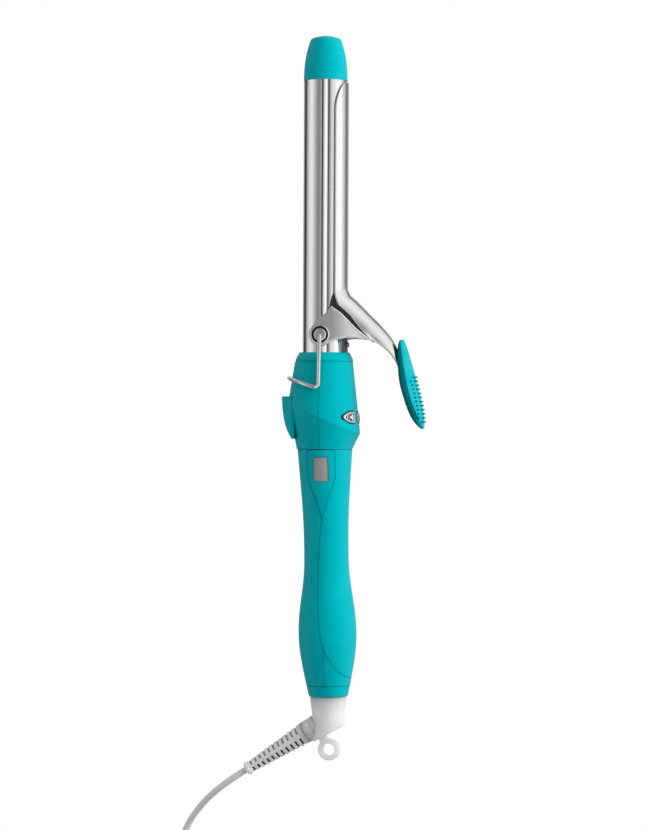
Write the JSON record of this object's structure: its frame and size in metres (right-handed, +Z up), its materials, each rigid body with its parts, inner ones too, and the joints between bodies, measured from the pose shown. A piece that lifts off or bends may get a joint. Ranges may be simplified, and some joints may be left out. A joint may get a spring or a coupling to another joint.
{
  "type": "curling iron",
  "caption": "Corded curling iron with a chromed barrel, sprung clamp, folding wire stand, contoured handle with temperature display, swivel cord outlet and plug.",
  "frame": {"origin": "centre of the iron's bounding box at its lowest level, where it lies on its side, without the cord, coil and plug", "axes": "+Y along the iron towards the tip, +X towards the clamp's lever, +Z up along the clamp's and stand's pivots"},
  "size_m": [0.1531, 0.5502, 0.0428],
  "materials": {
    "barrel_chrome": "polished",
    "clamp_chrome": "polished",
    "wire_steel": "bright drawn",
    "screw_steel": "bright",
    "spring_steel": "bright",
    "bracket_steel": "zinc plated",
    "cap_teal": "fine matte, heat resistant",
    "body_teal": "fine matte",
    "pad_teal": "soft, matte",
    "display_lens": "tinted, glossy",
    "button_silver": "silver",
    "elbow_white": "satin",
    "relief_white": "satin",
    "cord_white": "satin sheath",
    "tie_black": "matte",
    "pin_metal": "nickel plated",
    "ceramic": "fired, matte",
    "spreader_aluminium": "extruded",
    "board_green": "laminate",
    "part_black": "moulded",
    "lead_sleeve": "woven glass sleeve",
    "ring_brass": "bright",
    "bush_black": "heat-resistant moulding"
  },
  "bodies": {
    "handle": {"barrel_tube": "barrel_chrome", "tip_cap": "cap_teal", "tip_insulator": "ceramic", "heater_plate": "ceramic", "front_heat_spreader": "spreader_aluminium", "rear_heat_spreader": "spreader_aluminium", "heat_sensor": "ceramic", "pivot_bosses": "screw_steel", "pivot_screws": "screw_steel", "spring_bracket": "bracket_steel", "lever_spring": "spring_steel", "heat_shield_bush": "bush_black", "collar_ring": "body_teal", "housing_front_shell": "body_teal", "housing_back_shell": "body_teal", "switch_carrier": "part_black", "button_switches": "part_black", "handle_front_shell": "body_teal", "handle_back_shell": "body_teal", "grip_panel": "body_teal", "display_panel": "body_teal", "display_window": "display_lens", "display_module": "part_black", "circuit_board": "board_green", "board_parts": "part_black", "heater_leads": "lead_sleeve", "shell_screws": "screw_steel", "end_ring": "body_teal", "contact_block": "part_black"},
    "clamp": {"clamp_spoon": "clamp_chrome", "thumb_pad": "pad_teal", "pad_base": "cap_teal"},
    "stand": {"stand_wire": "wire_steel"},
    "power": {"power_button": "button_silver"},
    "heat_down": {"heat_down_button": "button_silver"},
    "heat_up": {"heat_up_button": "button_silver"},
    "swivel": {"swivel_elbow": "elbow_white", "swivel_core": "part_black", "slip_rings": "ring_brass", "strain_relief": "relief_white", "cord": "cord_white", "cord_coil": "cord_white", "cord_tie": "tie_black", "cord_tail": "cord_white", "plug_body": "cord_white", "plug_pins": "pin_metal"}
  },
  "joints": [
    {"name": "clamp_hinge", "type": "hinge", "parent": "handle", "child": "clamp", "pos_m": [-0.0055, 0.04135, 0.0214], "axis": [0, 0, -1], "range_deg": [0, 30], "stiffness_Nm_per_rad": 0.25, "springref_deg": -28.65, "deforming": ["lever_spring"]},
    {"name": "stand_hinge", "type": "hinge", "parent": "handle", "child": "stand", "pos_m": [-0.0055, 0.04135, 0.0214], "axis": [0, 0, -1], "range_deg": [0, 115]},
    {"name": "power_press", "type": "slide", "parent": "handle", "child": "power", "axis": [-1, 0, 0], "range_m": [0, 0.0006], "stiffness_N_per_m": 800, "springref_m": -0.0005},
    {"name": "heat_down_press", "type": "slide", "parent": "handle", "child": "heat_down", "axis": [-0.8387, 0, -0.5446], "range_m": [0, 0.0006], "stiffness_N_per_m": 800, "springref_m": -0.0005},
    {"name": "heat_up_press", "type": "slide", "parent": "handle", "child": "heat_up", "axis": [-0.8387, 0, 0.5446], "range_m": [0, 0.0006], "stiffness_N_per_m": 800, "springref_m": -0.0005},
    {"name": "cord_swivel", "type": "hinge", "parent": "handle", "child": "swivel", "pos_m": [-0.00221, -0.16502, 0.0214], "axis": [-0.0192, 0.9998, 0], "continuous": true}
  ]
}
